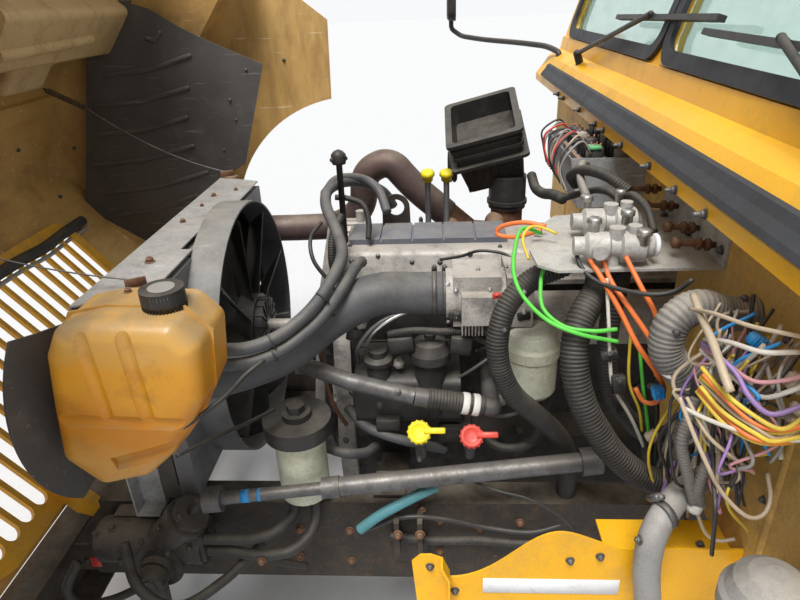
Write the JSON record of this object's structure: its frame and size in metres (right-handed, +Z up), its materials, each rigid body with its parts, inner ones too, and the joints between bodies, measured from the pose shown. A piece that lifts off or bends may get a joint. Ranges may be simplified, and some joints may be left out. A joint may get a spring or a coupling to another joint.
{
  "type": "school bus front end",
  "caption": "Front end of a conventional school bus: frame stub, engine, cooling pack, steering, cowl with windscreen and open tilt hood.",
  "frame": {"origin": "midway between the rear ends of the two frame rails, at half their depth: the splice to the bus chassis", "axes": "+X forwards, +Y to the driver's side (left), +Z up"},
  "size_m": [2.6242, 3.48, 2.1183],
  "materials": {
    "hood_paint": "worn yellow paint on fibreglass",
    "cab_paint": "yellow paint with dust",
    "firewall_paint": "dusty ochre paint",
    "frame_black": "black paint with rust and dirt",
    "cast_dirty": "oily cast iron",
    "cast_rust": "rusty cast iron",
    "alloy": "dull cast aluminium",
    "zinc": "weathered galvanised sheet",
    "steel": "dull steel",
    "radiator_alloy": "dusty core",
    "black_plastic": "scuffed black plastic",
    "grey_plastic": "weathered grey plastic",
    "shroud_plastic": "sun-bleached black plastic",
    "tank_plastic": "yellowed translucent plastic",
    "canister_white": "off-white, stained",
    "rubber_black": "dusty rubber",
    "hose_grey": "weathered rubber hose",
    "duct_beige": "stained beige moulding",
    "glass_green": "green tinted glass",
    "lamp_glass": "clear lamp glass",
    "grille_paint": "yellow paint"
  },
  "bodies": {
    "front_end": {"frame_rails": "frame_black", "front_crossmember": "frame_black", "bumper": "frame_black", "engine_block": "cast_dirty", "oil_pan": "frame_black", "flywheel_housing": "alloy", "valve_cover": "alloy", "cover_pad": "black_plastic", "front_cover": "alloy", "belt_drive": "steel", "intake_manifold": "alloy", "charge_pipe": "hose_grey", "turbocharger": "cast_rust", "intake_elbow": "cast_rust", "air_cleaner": "black_plastic", "oil_filter": "black_plastic", "fuel_filter": "canister_white", "coolant_tube": "steel", "fill_tubes": "steel", "alternator": "alloy", "compressor": "cast_dirty", "engine_mounts": "frame_black", "radiator": "radiator_alloy", "radiator_support": "zinc", "fan_shroud": "shroud_plastic", "surge_tank": "tank_plastic", "splash_shield": "shroud_plastic", "reservoir_caps": "black_plastic", "coolant_hoses": "hose_grey", "steering_gear": "cast_dirty", "steering_hoses": "rubber_black", "fluid_reservoir": "canister_white", "firewall": "firewall_paint", "cowl_top": "cab_paint", "windscreen_frame": "cab_paint", "windscreen_glass": "glass_green", "rubber_seals": "rubber_black", "valve_plate": "zinc", "relay_box": "steel", "side_panels": "cab_paint", "air_dryer": "grey_plastic", "wipers": "black_plastic", "mirrors": "black_plastic", "wiring_conduits": "grey_plastic"},
    "hood": {"hood_shell": "hood_paint", "grille": "grille_paint", "hood_liner": "black_plastic", "hood_duct": "duct_beige", "headlights": "lamp_glass"},
    "fan": {"fan": "black_plastic"},
    "steering_shaft": {"steering_shaft": "steel"},
    "pitman_arm": {"pitman_arm": "cast_dirty"}
  },
  "joints": [
    {"name": "hood_tilt", "type": "hinge", "parent": "front_end", "child": "hood", "pos_m": [2, 0, -0.062], "axis": [0, 1, 0], "range_deg": [-52, 0]},
    {"name": "fan_spin", "type": "hinge", "parent": "front_end", "child": "fan", "pos_m": [1.6, 0, 0.405], "axis": [1, 0, 0], "continuous": true},
    {"name": "steering_turn", "type": "hinge", "parent": "front_end", "child": "steering_shaft", "pos_m": [1.6, 0.52, 0.22], "axis": [0.9947, 0.0762, -0.0686], "range_deg": [-720, 720]},
    {"name": "pitman_swing", "type": "hinge", "parent": "front_end", "child": "pitman_arm", "pos_m": [1.74, 0.59, 0.03], "axis": [0, 1, 0], "range_deg": [-36, 36]}
  ],
  "couplings": [
    {"joint": "pitman_swing", "follows": "steering_turn", "ratio": 0.05}
  ]
}
